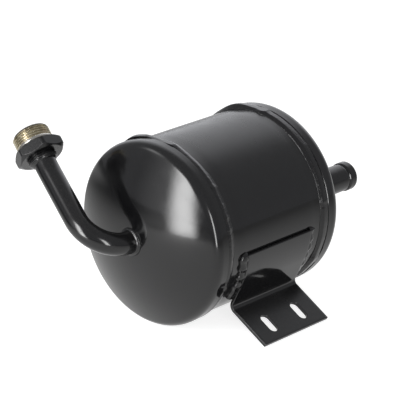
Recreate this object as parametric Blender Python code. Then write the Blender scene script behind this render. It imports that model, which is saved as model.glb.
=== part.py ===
"""Receiver drier: a welded steel tank lying on its side, with an inlet tube, an outlet stub and a bracket.

The tank's axis runs along Y, the inlet end faces -Y and the bracket is on the +X side.
The origin is on the underside of the bracket's foot, midway between its two slots.
The tank rests on the skirts of its two heads and on the foot's outer edge.
"""
import math

import bmesh
import bpy
from mathutils import Matrix, Quaternion, Vector

MM = 0.001

# Clearance between neighbouring pieces
GAP = 0.3 * MM
# Length by which a cutter passes the faces that it cuts
OVERCUT = 2.0 * MM

# Tank shell: a 6 inch tube
SHELL_OUTER_R = 76.2 * MM
SHELL_WALL = 2.0 * MM
SHELL_VISIBLE = 121.8 * MM
SHELL_OVERLAP = 5.0 * MM

# Dished heads, slipped over the shell
HEAD_WALL = 2.0 * MM
SKIRT_LENGTH = 6.0 * MM
KNUCKLE_R = 9.4 * MM
CROWN_R = 152.4 * MM

# Girth welds, between each skirt's rim and the shell
GIRTH_WELD_WIDTH = 6.3 * MM

# Inlet tube: 3/4 inch
TUBE_OUTER_R = 9.525 * MM
TUBE_WALL = 1.5 * MM
TUBE_INSIDE = 6.0 * MM
TUBE_CORNER = 39.5 * MM
TUBE_BEND_R = 29.6 * MM
TUBE_LEG = 90.4 * MM
TUBE_LEG_LEAN = 13.2
TUBE_LEG_RISE = 31.2
# Slight set of the tube's end, which turns the fitting up
TUBE_END_LENGTH = 16.8 * MM
TUBE_END_BEND_R = 60.0 * MM
TUBE_END_LEAN = 7.5
TUBE_END_RISE = 40.0

# Inlet fitting: a brazed union with a hexagon and a 1 1/4 inch outside thread
SOCKET_DEPTH = 9.0 * MM
COLLAR_OUTER_R = 12.4 * MM
COLLAR_LENGTH = 4.0 * MM
HEX_ACROSS_FLATS = 38.1 * MM
HEX_LENGTH = 10.5 * MM
HEX_CHAMFER = 1.6 * MM
THREAD_OUTER_R = 15.875 * MM
THREAD_LENGTH = 14.0 * MM
THREAD_CHAMFER = 1.2 * MM
RELIEF_LENGTH = 3.0 * MM
RELIEF_DEPTH = 0.8 * MM
FITTING_BORE_R = 8.0 * MM
BRAZE_LENGTH = 1.6 * MM
BRAZE_HEIGHT = 1.5 * MM

# Outlet stub, beside the axis in the rear head
STUB_OUTER_R = 11.75 * MM
STUB_WALL = 1.9 * MM
STUB_X = 44.0 * MM
STUB_Z = 12.4 * MM
STUB_INSIDE = 14.0 * MM
STUB_OUTSIDE = 37.0 * MM
STUB_BEAD_HEIGHT = 0.75 * MM
STUB_BEAD_LENGTH = 8.0 * MM
STUB_BEAD_CHAMFER = 1.0 * MM

# Fillet welds round the two tubes
TUBE_WELD_LEG = 2.2 * MM

# Bracket: one bent sheet, saddle above and foot below
SHEET = 3.0 * MM
BRACKET_WELD_FRONT_CLEARANCE = 10.8 * MM
BRACKET_WELD_REAR_CLEARANCE = 11.3 * MM
SADDLE_TOP_ANGLE = -3.0
SADDLE_LEAVES_ANGLE = -24.3
BEND_INNER_R = 3.0 * MM
FOOT_SLOPE = 28.5
FOOT_DEPTH = 43.5 * MM
SLOT_WIDTH = 8.5 * MM
SLOT_LENGTH = 18.2 * MM
SLOT_SPACING = 36.3 * MM
SLOT_FROM_BEND = 26.6 * MM
BRACKET_WELD_WIDTH = 4.2 * MM
BRACKET_WELD_END_ANGLE = -38.0

# Drying pack inside the shell
SCREEN_THICKNESS = 1.5 * MM
SCREEN_HOLE_R = 5.0 * MM
SCREEN_HOLE_PITCH = 20.0 * MM
SCREEN_RIM = 8.0 * MM
PAD_THICKNESS = 6.0 * MM
DESICCANT_LENGTH = 52.0 * MM
PACK_REAR_Y = 24.0 * MM
RING_WIDTH = 4.0 * MM
RING_HEIGHT = 4.0 * MM

# Spring that holds the pack together, between the front head and the front screen
SPRING_R = 45.0 * MM
SPRING_WIRE_R = 1.6 * MM
SPRING_TURNS = 4.0

# Pick-up tube from the outlet stub to the tank's low side, and its strainer
PICKUP_LENGTH_STRAIGHT = 26.0 * MM
PICKUP_BEND_R = 20.0 * MM
PICKUP_WALL = 1.4 * MM
PICKUP_FROM_SHELL = 1.5 * MM
PICKUP_IN_STUB = 10.0 * MM
STRAINER_WALL = 1.0 * MM
STRAINER_LENGTH = 16.0 * MM
STRAINER_OVERLAP = 9.0 * MM

# Facets round each kind of piece; the tank's count puts a flat facet at the bottom
TANK_FACETS = 50
TUBE_FACETS = 16
FITTING_FACETS = 24
HOLE_FACETS = 8
WIRE_FACETS = 6

# Worked out from the driving sizes
SHELL_INNER_R = SHELL_OUTER_R - SHELL_WALL
SKIRT_INNER_R = SHELL_OUTER_R + GAP
SKIRT_OUTER_R = SKIRT_INNER_R + HEAD_WALL
SKIRT_RIM_Y = SHELL_VISIBLE / 2
KNUCKLE_Y = SKIRT_RIM_Y + SKIRT_LENGTH
CROWN_ANGLE = math.asin((SKIRT_OUTER_R - KNUCKLE_R) / (CROWN_R - KNUCKLE_R))
CROWN_CENTRE_Y = KNUCKLE_Y - (CROWN_R - KNUCKLE_R) * math.cos(CROWN_ANGLE)
APEX_Y = CROWN_CENTRE_Y + CROWN_R
FLOOR_Z = -SKIRT_OUTER_R
TUBE_INNER_R = TUBE_OUTER_R - TUBE_WALL
STUB_INNER_R = STUB_OUTER_R - STUB_WALL
PACK_R = SHELL_INNER_R - GAP
# Room between the two girth welds, less the bracket's own weld beads
BRACKET_REACH = SKIRT_RIM_Y - GIRTH_WELD_WIDTH - BRACKET_WELD_WIDTH - 2 * GAP
BRACKET_FRONT_Y = BRACKET_WELD_FRONT_CLEARANCE - BRACKET_REACH
BRACKET_REAR_Y = BRACKET_REACH - BRACKET_WELD_REAR_CLEARANCE
BRACKET_LENGTH = BRACKET_REAR_Y - BRACKET_FRONT_Y

PAINT = ((0.012, 0.012, 0.013), 0.22, 0.0)
WELD_PAINT = ((0.014, 0.014, 0.015), 0.3, 0.0)
PLATED = ((0.62, 0.52, 0.30), 0.35, 1.0)
BARE_STEEL = ((0.45, 0.45, 0.46), 0.4, 1.0)
FELT = ((0.78, 0.76, 0.70), 0.95, 0.0)
BEADS = ((0.80, 0.62, 0.42), 0.8, 0.0)


def clear_scene():
    """Remove the objects that a new file starts with."""
    for found in list(bpy.data.objects):
        bpy.data.objects.remove(found, do_unlink=True)


def make_material(name, look):
    """A Principled material of one colour, roughness and metallic value."""
    colour, roughness, metallic = look
    material = bpy.data.materials.new(name)
    material.use_nodes = True
    shader = material.node_tree.nodes["Principled BSDF"]
    shader.inputs["Base Color"].default_value = (*colour, 1.0)
    shader.inputs["Roughness"].default_value = roughness
    shader.inputs["Metallic"].default_value = metallic
    return material


def make_object(name, shape, look, frame):
    """Turn a bmesh into a named object under the frame's empty, with its own material."""
    bmesh.ops.remove_doubles(shape, verts=shape.verts, dist=0.001 * MM)
    bmesh.ops.recalc_face_normals(shape, faces=shape.faces)
    mesh = bpy.data.meshes.new(name)
    shape.to_mesh(mesh)
    shape.free()
    mesh.shade_smooth()
    mesh.set_sharp_from_angle(angle=math.radians(35))
    piece = bpy.data.objects.new(name, mesh)
    bpy.context.collection.objects.link(piece)
    piece.data.materials.append(make_material(name + "_material", look))
    piece.parent = frame
    return piece


def make_cutter(name, shape, frame):
    """A hidden helper object for a Boolean."""
    cutter = make_object(name, shape, BARE_STEEL, frame)
    cutter.hide_render = True
    cutter.display_type = "WIRE"
    return cutter


def combine(piece, other, operation):
    """Add an exact Boolean with another object."""
    modifier = piece.modifiers.new(other.name, "BOOLEAN")
    modifier.operation = operation
    modifier.solver = "EXACT"
    modifier.object = other


def arc(centre, radius, start, end, steps):
    """Points (across, along) on an arc, its angles in radians from the across axis."""
    turn = (end - start) / steps
    return [(centre[0] + radius * math.cos(start + turn * i),
             centre[1] + radius * math.sin(start + turn * i)) for i in range(steps + 1)]


def turned(outline, facets, start=0.0, sweep=2 * math.pi):
    """A closed outline of (radius, station) points, turned about the Y axis."""
    shape = bmesh.new()
    corners = [shape.verts.new((r * math.cos(start), y, r * math.sin(start))) for r, y in outline]
    face = shape.faces.new(corners)
    whole = sweep >= 2 * math.pi - 1e-9
    edges = face.edges[:]
    geometry = edges if whole else edges + [face]
    if whole:
        bmesh.ops.delete(shape, geom=[face], context="FACES_ONLY")
    bmesh.ops.spin(shape, geom=geometry, cent=(0, 0, 0), axis=(0, -1, 0), angle=sweep,
                   steps=facets, use_merge=whole)
    return shape


def bent_corner(start, corner, end, radius, steps):
    """Points round one corner of a path, rounded to the radius."""
    inward = (start - corner).normalized()
    outward = (end - corner).normalized()
    half = inward.angle(outward) / 2
    setback = radius / math.tan(half)
    centre = corner + (inward + outward).normalized() * (radius / math.sin(half))
    first = corner + inward * setback - centre
    last = corner + outward * setback - centre
    bend = first.rotation_difference(last)
    points = []
    for i in range(steps + 1):
        share = Quaternion(bend.axis, bend.angle * i / steps)
        points.append(centre + share @ first)
    return points


def add_rings(shape, path, radius, facets, side):
    """Rings of vertices along a path; side is a direction that the path never takes."""
    rings = []
    for i, point in enumerate(path):
        before = path[max(i - 1, 0)]
        after = path[min(i + 1, len(path) - 1)]
        along = (after - before).normalized()
        across = along.cross(side).normalized()
        up = across.cross(along)
        ring = []
        for j in range(facets):
            turn = 2 * math.pi * j / facets
            place = point + (across * math.cos(turn) + up * math.sin(turn)) * radius
            ring.append(shape.verts.new(place))
        rings.append(ring)
    return rings


def join_rings(shape, first, second):
    """Faces between two rings with as many vertices."""
    count = len(first)
    for j in range(count):
        k = (j + 1) % count
        shape.faces.new((first[j], first[k], second[k], second[j]))


def swept(path, outer_r, inner_r, facets, side):
    """A round tube along a path, or a solid rod where the inner radius is 0."""
    shape = bmesh.new()
    outer = add_rings(shape, path, outer_r, facets, side)
    for first, second in zip(outer, outer[1:]):
        join_rings(shape, first, second)
    if inner_r > 0:
        inner = add_rings(shape, path, inner_r, facets, side)
        for first, second in zip(inner, inner[1:]):
            join_rings(shape, second, first)
        join_rings(shape, inner[0], outer[0])
        join_rings(shape, outer[-1], inner[-1])
    else:
        shape.faces.new(outer[0])
        shape.faces.new(outer[-1])
    return shape


def extruded(outline, start_y, length):
    """A closed outline of (x, z) points, extruded along Y."""
    shape = bmesh.new()
    corners = [shape.verts.new((x, start_y, z)) for x, z in outline]
    face = shape.faces.new(corners)
    grown = bmesh.ops.extrude_face_region(shape, geom=[face])
    moved = [item for item in grown["geom"] if isinstance(item, bmesh.types.BMVert)]
    bmesh.ops.translate(shape, verts=moved, vec=(0, length, 0))
    return shape


def crown_y(radius, offset):
    """Station of a head's outer face, moved inward by offset, at a distance from the axis."""
    return CROWN_CENTRE_Y + math.sqrt((CROWN_R - offset) ** 2 - radius ** 2)


def head_outline():
    """Half section of the rear head: skirt, knuckle and crown, outer face then inner face."""
    outline = [(SKIRT_OUTER_R, SKIRT_RIM_Y)]
    knuckle = (SKIRT_OUTER_R - KNUCKLE_R, KNUCKLE_Y)
    meets = math.pi / 2 - CROWN_ANGLE
    outline += arc(knuckle, KNUCKLE_R, 0, meets, 4)
    outline += arc((0, CROWN_CENTRE_Y), CROWN_R, meets, math.pi / 2, 5)[1:]
    inner_crown = arc((0, CROWN_CENTRE_Y), CROWN_R - HEAD_WALL, math.pi / 2, meets, 4)
    outline += inner_crown[:-1]
    outline += arc(knuckle, KNUCKLE_R - HEAD_WALL, meets, 0, 3)
    outline.append((SKIRT_INNER_R, SKIRT_RIM_Y))
    return outline


def mirrored(outline):
    """The same outline at the other end of the tank."""
    return [(r, -y) for r, y in outline]


def build_shell(frame):
    half = SHELL_VISIBLE / 2 + SHELL_OVERLAP
    outline = [(SHELL_OUTER_R, -half), (SHELL_OUTER_R, half), (SHELL_INNER_R, half), (SHELL_INNER_R, -half)]
    make_object("shell", turned(outline, TANK_FACETS), PAINT, frame)


def build_head(name, outline, hole_at, hole_r, frame):
    """A dished head with a round hole for the tube that passes it."""
    head = make_object(name, turned(outline, TANK_FACETS), PAINT, frame)
    side = math.copysign(1, outline[0][1])
    x, z = hole_at
    ends = (CROWN_CENTRE_Y * side, (APEX_Y + OVERCUT) * side)
    path = [Vector((x, station, z)) for station in ends]
    hole = swept(path, hole_r, 0, TUBE_FACETS, Vector((0, 0, 1)))
    combine(head, make_cutter(name + "_hole", hole, frame), "DIFFERENCE")


def girth_weld_outline():
    """Section of the bead that fills the step between skirt and shell at the rear."""
    near = SKIRT_RIM_Y - GAP
    far = near - GIRTH_WELD_WIDTH
    low = SHELL_OUTER_R + GAP
    crown = SKIRT_OUTER_R - GAP
    middle = (near + far) / 2
    height = crown - low
    return [(low, near), (low + height * 0.85, near), (crown, (near + middle) / 2), (crown, middle),
            (low + height * 0.35, far), (low, far)]


def build_tank(frame):
    build_shell(frame)
    hole_r = TUBE_OUTER_R + GAP
    build_head("front_head", mirrored(head_outline()), (0, 0), hole_r, frame)
    build_head("rear_head", head_outline(), (STUB_X, STUB_Z), STUB_OUTER_R + GAP, frame)
    weld = girth_weld_outline()
    make_object("front_girth_weld", turned(mirrored(weld), TANK_FACETS), WELD_PAINT, frame)
    make_object("rear_girth_weld", turned(weld, TANK_FACETS), WELD_PAINT, frame)


def direction(lean_degrees, rise_degrees):
    """Unit vector towards -X, leaning to the rear and rising."""
    lean = math.radians(lean_degrees)
    rise = math.radians(rise_degrees)
    return Vector((-math.cos(lean) * math.cos(rise), math.sin(lean), math.cos(lean) * math.sin(rise)))


def leg_direction():
    """Direction of the inlet tube's outer leg."""
    return direction(TUBE_LEG_LEAN, TUBE_LEG_RISE)


def end_direction():
    """Direction of the inlet tube's last stretch and of the fitting."""
    return direction(TUBE_END_LEAN, TUBE_END_RISE)


def inlet_points():
    """Where the inlet tube starts, turns twice, and ends."""
    start = Vector((0, -APEX_Y + HEAD_WALL + TUBE_INSIDE, 0))
    corner = Vector((0, -APEX_Y - TUBE_CORNER, 0))
    second = corner + leg_direction() * TUBE_LEG
    return start, corner, second, second + end_direction() * TUBE_END_LENGTH


def build_inlet_tube(frame):
    start, corner, second, end = inlet_points()
    path = [start]
    path += bent_corner(start, corner, second, TUBE_BEND_R, 9)
    path += bent_corner(corner, second, end, TUBE_END_BEND_R, 2)
    path.append(end)
    side = leg_direction().cross(Vector((0, 1, 0)))
    make_object("inlet_tube", swept(path, TUBE_OUTER_R, TUBE_INNER_R, TUBE_FACETS, side), PAINT, frame)


def tube_weld_outline(tube_r):
    """Section of the fillet round a tube that leaves a head square to it."""
    inner = tube_r + GAP
    outer = inner + TUBE_WELD_LEG
    foot_inner = crown_y(inner, 0) + GAP
    foot_outer = crown_y(outer, 0) + GAP
    top = foot_inner + TUBE_WELD_LEG
    mid = ((inner + outer) / 2 + 0.15 * TUBE_WELD_LEG, (foot_outer + top) / 2 + 0.15 * TUBE_WELD_LEG)
    return [(inner, foot_inner), (outer, foot_outer), mid, (inner, top)]


def build_tube_welds(frame):
    inlet = mirrored(tube_weld_outline(TUBE_OUTER_R))
    make_object("inlet_tube_weld", turned(inlet, TUBE_FACETS), WELD_PAINT, frame)
    stub = turned(tube_weld_ring(), TUBE_FACETS)
    # The rear head slopes at the stub, so the ring is tipped to follow it
    slope = math.asin(math.hypot(STUB_X, STUB_Z) / CROWN_R)
    tip = Matrix.Rotation(slope, 4, Vector((STUB_Z, 0, -STUB_X)).normalized())
    foot = crown_y(math.hypot(STUB_X, STUB_Z), 0)
    bmesh.ops.transform(stub, matrix=Matrix.Translation((STUB_X, foot, STUB_Z)) @ tip, verts=stub.verts)
    weld = make_object("outlet_stub_weld", stub, WELD_PAINT, frame)
    path = [Vector((STUB_X, KNUCKLE_Y, STUB_Z)), Vector((STUB_X, APEX_Y + STUB_OUTSIDE, STUB_Z))]
    bore = swept(path, STUB_OUTER_R + GAP, 0, TUBE_FACETS, Vector((0, 0, 1)))
    combine(weld, make_cutter("outlet_stub_weld_bore", bore, frame), "DIFFERENCE")


def tube_weld_ring():
    """Section of the stub's fillet, about the stub's own axis, on a plane that touches the head."""
    outer = STUB_OUTER_R + GAP + TUBE_WELD_LEG
    inner = STUB_OUTER_R - STUB_WALL
    low = GAP
    top = TUBE_WELD_LEG + GAP
    return [(inner, low), (outer, low), (outer - 0.3 * TUBE_WELD_LEG, (low + top) / 2), (inner, top)]


def fitting_frame():
    """Places a piece turned about Y on the tube's outer leg, its Y axis pointing outwards."""
    end = inlet_points()[3]
    turn = Vector((0, 1, 0)).rotation_difference(end_direction())
    return Matrix.Translation(end) @ turn.to_matrix().to_4x4()


def fitting_outline():
    """Half section of the fitting: socket, collar, body under the hexagon, relief and thread."""
    back = -SOCKET_DEPTH + BRAZE_LENGTH
    collar = back + COLLAR_LENGTH
    hex_end = collar + HEX_LENGTH
    relief = hex_end + RELIEF_LENGTH
    end = hex_end + THREAD_LENGTH
    body_r = THREAD_OUTER_R - RELIEF_DEPTH
    socket_r = TUBE_OUTER_R + GAP
    inside = collar + HEX_LENGTH / 2
    return [(socket_r, back), (COLLAR_OUTER_R, back), (COLLAR_OUTER_R, inside), (body_r, inside), (body_r, relief),
            (THREAD_OUTER_R, relief + RELIEF_DEPTH), (THREAD_OUTER_R, end - THREAD_CHAMFER),
            (THREAD_OUTER_R - THREAD_CHAMFER, end), (FITTING_BORE_R, end), (FITTING_BORE_R, GAP), (socket_r, GAP)]


def hexagon():
    """The hexagon's prism with both rims chamfered round, over the fitting's body."""
    back = -SOCKET_DEPTH + BRAZE_LENGTH + COLLAR_LENGTH
    front = back + HEX_LENGTH
    corner_r = HEX_ACROSS_FLATS / math.sqrt(3)
    flat_r = HEX_ACROSS_FLATS / 2
    outline = [(corner_r * math.cos(math.pi * i / 3), corner_r * math.sin(math.pi * i / 3)) for i in range(6)]
    prism = extruded(outline, back, HEX_LENGTH)
    inner = TUBE_OUTER_R + GAP + RELIEF_DEPTH
    rims = [(inner, back), (flat_r - GAP, back), (corner_r + GAP, back + HEX_CHAMFER),
            (corner_r + GAP, front - HEX_CHAMFER), (flat_r - GAP, front), (inner, front)]
    return prism, turned(rims, FITTING_FACETS)


def build_fitting(frame):
    place = fitting_frame()
    body = turned(fitting_outline(), FITTING_FACETS)
    prism, rims = hexagon()
    for shape in (body, prism, rims):
        bmesh.ops.transform(shape, matrix=place, verts=shape.verts)
    fitting = make_object("inlet_fitting", body, PLATED, frame)
    nut = make_cutter("hexagon_prism", prism, frame)
    combine(nut, make_cutter("hexagon_rims", rims, frame), "INTERSECT")
    combine(fitting, nut, "UNION")


def build_braze(frame):
    """The braze ring where the tube enters the fitting's socket."""
    inner = TUBE_OUTER_R + GAP
    near = -SOCKET_DEPTH
    far = near + BRAZE_LENGTH - GAP
    outline = [(inner, near), (inner + 0.4 * BRAZE_HEIGHT, near), (inner + BRAZE_HEIGHT, far), (inner, far)]
    ring = turned(outline, TUBE_FACETS)
    bmesh.ops.transform(ring, matrix=fitting_frame(), verts=ring.verts)
    make_object("inlet_braze", ring, WELD_PAINT, frame)


def build_stub(frame):
    """The outlet stub, with a slightly proud end."""
    surface = crown_y(math.hypot(STUB_X, STUB_Z), 0)
    inner_end = surface - STUB_INSIDE
    outer_end = surface + STUB_OUTSIDE
    bead = outer_end - STUB_BEAD_LENGTH
    bead_r = STUB_OUTER_R + STUB_BEAD_HEIGHT
    outline = [(STUB_OUTER_R, inner_end), (STUB_OUTER_R, bead), (bead_r, bead + STUB_BEAD_HEIGHT),
               (bead_r, outer_end - STUB_BEAD_CHAMFER),
               (bead_r - STUB_BEAD_CHAMFER, outer_end),
               (STUB_INNER_R, outer_end), (STUB_INNER_R, inner_end)]
    shape = turned(outline, TUBE_FACETS)
    bmesh.ops.translate(shape, verts=shape.verts, vec=(STUB_X, 0, STUB_Z))
    make_object("outlet_stub", shape, PAINT, frame)


def bracket_corners():
    """Where the saddle leaves the shell, and the crease above the foot, both on the sheet's outer face."""
    leaves = math.radians(SADDLE_LEAVES_ANGLE)
    slope = math.radians(FOOT_SLOPE)
    outer_r = SHELL_OUTER_R + GAP + SHEET
    tangent = Vector((math.sin(leaves), -math.cos(leaves)))
    start = Vector((outer_r * math.cos(leaves), outer_r * math.sin(leaves)))
    crease_z = FLOOR_Z + FOOT_DEPTH * math.sin(slope) + SHEET * math.cos(slope)
    crease = start + tangent * ((start.y - crease_z) / math.cos(leaves))
    return tangent, crease


def foot_axes():
    """Directions down along the foot and up out of its top face, in X and Z."""
    slope = math.radians(FOOT_SLOPE)
    return Vector((math.cos(slope), -math.sin(slope))), Vector((math.sin(slope), math.cos(slope)))


def bracket_outline():
    """Section of the bent sheet: outer face from the saddle's top to the foot's edge, then back."""
    tangent, crease = bracket_corners()
    down, up = foot_axes()
    turn = math.pi - (-tangent).angle(down)
    setback = BEND_INNER_R * math.tan(turn / 2)
    bend_start = crease - tangent * setback
    leg_out = Vector((-tangent.y, tangent.x))
    centre = bend_start + leg_out * BEND_INNER_R
    first = math.atan2(-leg_out.y, -leg_out.x)
    last = math.atan2(-up.y, -up.x)
    if last < first:
        last += 2 * math.pi
    inner_r = SHELL_OUTER_R + GAP
    outer_r = inner_r + SHEET
    top = math.radians(SADDLE_TOP_ANGLE)
    leaves = math.radians(SADDLE_LEAVES_ANGLE)
    edge = crease + down * FOOT_DEPTH
    outline = arc((0, 0), outer_r, top, leaves, 6)
    outline += arc(centre, BEND_INNER_R, first, last, 5)
    outline += [tuple(edge), tuple(edge - up * SHEET)]
    outline += arc(centre, BEND_INNER_R + SHEET, last, first, 5)
    outline += arc((0, 0), inner_r, leaves, top, 6)
    return outline


def slot_middles():
    """Centres of the two slots on the foot's top face, as (x, y, z) points."""
    crease = bracket_corners()[1]
    down = foot_axes()[0]
    middle = crease + down * SLOT_FROM_BEND
    centre_y = BRACKET_FRONT_Y + BRACKET_LENGTH / 2
    return [Vector((middle.x, centre_y + side * SLOT_SPACING / 2, middle.y)) for side in (-1, 1)]


def slot_cutter(middle):
    """A round-ended bar that cuts one slot square through the foot."""
    down, up = foot_axes()
    along = Vector((down.x, 0, down.y))
    through = Vector((up.x, 0, up.y))
    across = Vector((0, 1, 0))
    radius = SLOT_WIDTH / 2
    reach = SLOT_LENGTH / 2 - radius
    shape = bmesh.new()
    rim = []
    for end, start in ((1, -math.pi / 2), (-1, math.pi / 2)):
        for share in arc((0, 0), radius, start, start + math.pi, HOLE_FACETS):
            place = middle + along * (end * reach + share[0]) + across * share[1]
            rim.append(shape.verts.new(place + through * OVERCUT))
    face = shape.faces.new(rim)
    grown = bmesh.ops.extrude_face_region(shape, geom=[face])
    moved = [item for item in grown["geom"] if isinstance(item, bmesh.types.BMVert)]
    bmesh.ops.translate(shape, verts=moved, vec=through * -(SHEET + 2 * OVERCUT))
    return shape


def bracket_weld_outline(edge_y, side):
    """Section of the bead between one side edge of the saddle and the shell."""
    near = edge_y + side * GAP
    far = near + side * BRACKET_WELD_WIDTH
    low = SHELL_OUTER_R + GAP
    top = low + SHEET
    shoulder = near + side * 0.35 * BRACKET_WELD_WIDTH
    return [(low, near), (top, near), (top - 0.1 * SHEET, shoulder), (low + 0.35 * SHEET, far), (low, far)]


def build_bracket(frame):
    sheet = extruded(bracket_outline(), BRACKET_FRONT_Y, BRACKET_LENGTH)
    bracket = make_object("mounting_bracket", sheet, PAINT, frame)
    for number, middle in enumerate(slot_middles(), 1):
        combine(bracket, make_cutter("slot_%d" % number, slot_cutter(middle), frame), "DIFFERENCE")
    start = math.radians(BRACKET_WELD_END_ANGLE)
    sweep = math.radians(SADDLE_TOP_ANGLE - BRACKET_WELD_END_ANGLE)
    for name, edge_y, side in (("bracket_weld_front", BRACKET_FRONT_Y, -1), ("bracket_weld_rear", BRACKET_REAR_Y, 1)):
        bead = turned(bracket_weld_outline(edge_y, side), 10, start, sweep)
        make_object(name, bead, WELD_PAINT, frame)


def screen_holes(name, station, frame):
    """One cutter with a triangular pattern of round holes inside the screen's rim."""
    shape = bmesh.new()
    reach = PACK_R - SCREEN_RIM - SCREEN_HOLE_R
    rows = int(reach / SCREEN_HOLE_PITCH) + 1
    for row in range(-rows, rows + 1):
        for column in range(-rows, rows + 1):
            x = (column + (row % 2) / 2) * SCREEN_HOLE_PITCH
            z = row * SCREEN_HOLE_PITCH * math.sqrt(3) / 2
            if math.hypot(x, z) <= reach:
                add_pin(shape, Vector((x, station, z)))
    return make_cutter(name, shape, frame)


def add_pin(shape, centre):
    """A round pin along Y that passes a screen on both sides."""
    reach = Vector((0, SCREEN_THICKNESS / 2 + OVERCUT, 0))
    ends = add_rings(shape, [centre - reach, centre + reach], SCREEN_HOLE_R, HOLE_FACETS, Vector((0, 0, 1)))
    join_rings(shape, ends[0], ends[1])
    shape.faces.new(ends[0])
    shape.faces.new(ends[1])


def build_disc(name, rear_y, thickness, look, frame):
    """A plain disc that fills the shell, with its rear face at the station given."""
    outline = [(0, rear_y - thickness), (PACK_R, rear_y - thickness), (PACK_R, rear_y), (0, rear_y)]
    return make_object(name, turned(outline, TANK_FACETS), look, frame)


def build_pack(frame):
    """Retaining ring, screens, pads and desiccant, stacked from the rear to the front."""
    ring_rear = PACK_REAR_Y + GAP + RING_WIDTH
    ring = [(PACK_R - RING_HEIGHT, PACK_REAR_Y + GAP), (PACK_R, PACK_REAR_Y + GAP), (PACK_R, ring_rear),
            (PACK_R - RING_HEIGHT, ring_rear)]
    make_object("retaining_ring", turned(ring, TANK_FACETS), BARE_STEEL, frame)
    stack = (("rear_screen", SCREEN_THICKNESS, BARE_STEEL), ("rear_pad", PAD_THICKNESS, FELT),
             ("desiccant_bed", DESICCANT_LENGTH, BEADS), ("front_pad", PAD_THICKNESS, FELT),
             ("front_screen", SCREEN_THICKNESS, BARE_STEEL))
    rear_y = PACK_REAR_Y
    for name, thickness, look in stack:
        disc = build_disc(name, rear_y, thickness, look, frame)
        if thickness == SCREEN_THICKNESS:
            holes = screen_holes(name + "_holes", rear_y - thickness / 2, frame)
            combine(disc, holes, "DIFFERENCE")
        rear_y -= thickness + GAP
    return rear_y


def build_spring(pack_front_y, frame):
    """A coil spring from the front head's inner face to the front screen."""
    seat_r = SPRING_R + SPRING_WIRE_R
    head_y = -crown_y(seat_r, HEAD_WALL) + GAP + 2 * SPRING_WIRE_R
    screen_y = pack_front_y - SPRING_WIRE_R
    steps = int(SPRING_TURNS * 12)
    path = []
    for i in range(steps + 1):
        turn = 2 * math.pi * SPRING_TURNS * i / steps
        # The first and last half turns lie flat as ground ends do
        share = min(max((i / steps * SPRING_TURNS - 0.5) / (SPRING_TURNS - 1), 0), 1)
        station = head_y + (screen_y - head_y) * share
        path.append(Vector((SPRING_R * math.cos(turn), station, SPRING_R * math.sin(turn))))
    wire = swept(path, SPRING_WIRE_R, 0, WIRE_FACETS, Vector((0, 1, 0)))
    make_object("pack_spring", wire, BARE_STEEL, frame)


def pickup_points():
    """Where the pick-up tube starts in the stub, turns, and ends at the tank's low side."""
    surface = crown_y(math.hypot(STUB_X, STUB_Z), 0)
    start = Vector((STUB_X, surface - STUB_INSIDE + PICKUP_IN_STUB, STUB_Z))
    corner = start - Vector((0, PICKUP_IN_STUB + PICKUP_LENGTH_STRAIGHT, 0))
    up = foot_axes()[1]
    low = Vector((-up.x, 0, -up.y))
    # The strainer's far rim stays clear of the shell on the side away from the axis
    foot = Vector((corner.x, 0, corner.z))
    along = foot.dot(low)
    aside = (foot - low * along).length + STUB_INNER_R + STRAINER_WALL
    rim = math.sqrt((SHELL_INNER_R - PICKUP_FROM_SHELL) ** 2 - aside ** 2)
    length = rim - (STRAINER_LENGTH - STRAINER_OVERLAP) - along
    return start, corner, corner + low * length, low


def build_pickup(frame):
    """Pick-up tube, and the strainer cup on its lower end."""
    start, corner, end, low = pickup_points()
    outer_r = STUB_INNER_R - GAP
    path = [start] + bent_corner(start, corner, end, PICKUP_BEND_R, 6) + [end]
    side = low.cross(Vector((0, 1, 0)))
    tube = swept(path, outer_r, outer_r - PICKUP_WALL, TUBE_FACETS, side)
    make_object("pickup_tube", tube, BARE_STEEL, frame)
    inner = outer_r + GAP
    outer = inner + STRAINER_WALL
    floor = STRAINER_LENGTH - STRAINER_OVERLAP
    cup = [(0, floor), (outer, floor), (outer, -STRAINER_OVERLAP), (inner, -STRAINER_OVERLAP),
           (inner, floor - STRAINER_WALL), (0, floor - STRAINER_WALL)]
    shape = turned(cup, TUBE_FACETS)
    turn = Vector((0, 1, 0)).rotation_difference(low).to_matrix().to_4x4()
    bmesh.ops.transform(shape, matrix=Matrix.Translation(end) @ turn, verts=shape.verts)
    make_object("pickup_strainer", shape, BARE_STEEL, frame)


def foot_origin():
    """The middle of the foot's underside, midway between the slots."""
    first, second = slot_middles()
    up = foot_axes()[1]
    return (first + second) / 2 - Vector((up.x, 0, up.y)) * SHEET


def main():
    clear_scene()
    frame = bpy.data.objects.new("tank_axis", None)
    bpy.context.collection.objects.link(frame)
    frame.location = -foot_origin()
    build_tank(frame)
    build_inlet_tube(frame)
    build_tube_welds(frame)
    build_fitting(frame)
    build_braze(frame)
    build_stub(frame)
    build_bracket(frame)
    pack_front_y = build_pack(frame)
    build_spring(pack_front_y, frame)
    build_pickup(frame)


main()
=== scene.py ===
"""Receiver drier: a black enamelled steel tank with an inlet tube, an outlet stub and a bracket."""
from functools import partial
from math import asin, cos, degrees, exp, pi, radians, sin, sqrt, tan, tau

import bmesh
import bpy
from bpy.props import FloatProperty, FloatVectorProperty, IntProperty, PointerProperty
from mathutils import Matrix, Quaternion, Vector, noise


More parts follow.
